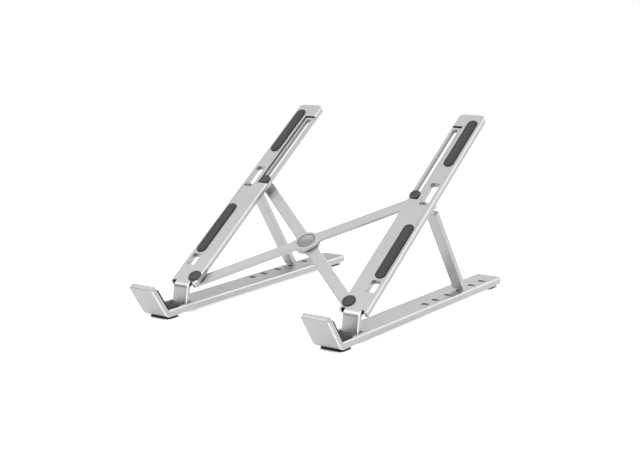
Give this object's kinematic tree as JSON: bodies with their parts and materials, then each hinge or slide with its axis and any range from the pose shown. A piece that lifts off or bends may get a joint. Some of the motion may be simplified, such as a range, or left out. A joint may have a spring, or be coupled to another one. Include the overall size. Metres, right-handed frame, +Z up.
{
  "type": "folding laptop stand",
  "caption": "Folding aluminium laptop stand: hooked base rails, padded tilting upper rails, a scissor cross-brace and slot-set legs.",
  "frame": {"origin": "on the surface the stand rests on, under the middle of the whole stand as it stands open", "axes": "+X to the user's right, +Y away from the user, +Z up; the hooks are at -Y"},
  "size_m": [0.1742, 0.252, 0.1412],
  "materials": {
    "aluminium": "fine bead-blasted and anodised silver",
    "bright_metal": "turned and polished",
    "steel": "bright drawn wire",
    "pad_rubber": "matt dark grey silicone rubber",
    "foot_rubber": "matt black rubber",
    "cap_plastic": "fine moulded texture, dark grey",
    "nylon": "smooth natural nylon"
  },
  "bodies": {
    "left_base": {"left_base_rail": "aluminium", "left_front_foot": "foot_rubber", "left_rear_foot": "foot_rubber", "left_hook_pad": "pad_rubber", "left_hinge_pin": "steel"},
    "left_rail": {"left_upper_rail": "aluminium", "left_lower_pad": "pad_rubber", "left_upper_pad": "pad_rubber", "left_leg_pin": "steel", "left_pivot_cap": "cap_plastic", "left_pivot_pin": "steel", "left_pivot_bush": "nylon"},
    "left_leg": {"left_leg": "aluminium"},
    "right_base": {"right_base_rail": "aluminium", "right_front_foot": "foot_rubber", "right_rear_foot": "foot_rubber", "right_hook_pad": "pad_rubber", "right_hinge_pin": "steel"},
    "right_rail": {"right_upper_rail": "aluminium", "right_lower_pad": "pad_rubber", "right_upper_pad": "pad_rubber", "right_leg_pin": "steel", "right_pivot_cap": "cap_plastic", "right_pivot_pin": "steel", "right_pivot_bush": "nylon"},
    "right_leg": {"right_leg": "aluminium"},
    "link_above": {"upper_link": "aluminium", "centre_rivet": "bright_metal", "centre_washer": "nylon", "right_slider_cap": "cap_plastic", "right_slider_pin": "steel", "right_slider_bush": "nylon"},
    "link_below": {"lower_link": "aluminium", "left_slider_cap": "cap_plastic", "left_slider_pin": "steel", "left_slider_bush": "nylon"}
  },
  "joints": [
    {"name": "tilt", "type": "hinge", "parent": "left_base", "child": "left_rail", "pos_m": [-0.0755, -0.08009, 0.005], "axis": [1, 0, 0], "range_deg": [-33.5, 11.2]},
    {"name": "left_prop", "type": "hinge", "parent": "left_rail", "child": "left_leg", "pos_m": [-0.08, 0.0163, 0.08092], "axis": [1, 0, 0], "range_deg": [-30.6, 90.6]},
    {"name": "spread", "type": "hinge", "parent": "left_rail", "child": "link_above", "pos_m": [-0.0685, -0.06985, 0.0209], "axis": [0, -0.5736, 0.8192], "range_deg": [0, 48.39]},
    {"name": "scissor", "type": "hinge", "parent": "link_above", "child": "link_below", "pos_m": [0, -0.02466, 0.05077], "axis": [0, -0.5736, 0.8192], "range_deg": [-97.3, 0.5]},
    {"name": "right_swing", "type": "hinge", "parent": "link_below", "child": "right_rail", "pos_m": [0.0685, -0.06819, 0.01852], "axis": [0, -0.5736, 0.8192], "range_deg": [-0.5, 48.9]},
    {"name": "right_tilt", "type": "hinge", "parent": "right_rail", "child": "right_base", "pos_m": [0.0755, -0.08009, 0.005], "axis": [1, 0, 0], "range_deg": [-11.7, 34]},
    {"name": "right_prop", "type": "hinge", "parent": "right_rail", "child": "right_leg", "pos_m": [0.08, 0.0163, 0.08092], "axis": [1, 0, 0], "range_deg": [-30.6, 90.6]}
  ],
  "couplings": [
    {"joint": "left_prop", "follows": "tilt", "ratio": -2.6907},
    {"joint": "right_prop", "follows": "tilt", "ratio": -2.6907},
    {"joint": "right_tilt", "follows": "tilt", "ratio": -1},
    {"joint": "scissor", "follows": "spread", "ratio": -2},
    {"joint": "right_swing", "follows": "spread", "ratio": 1}
  ]
}
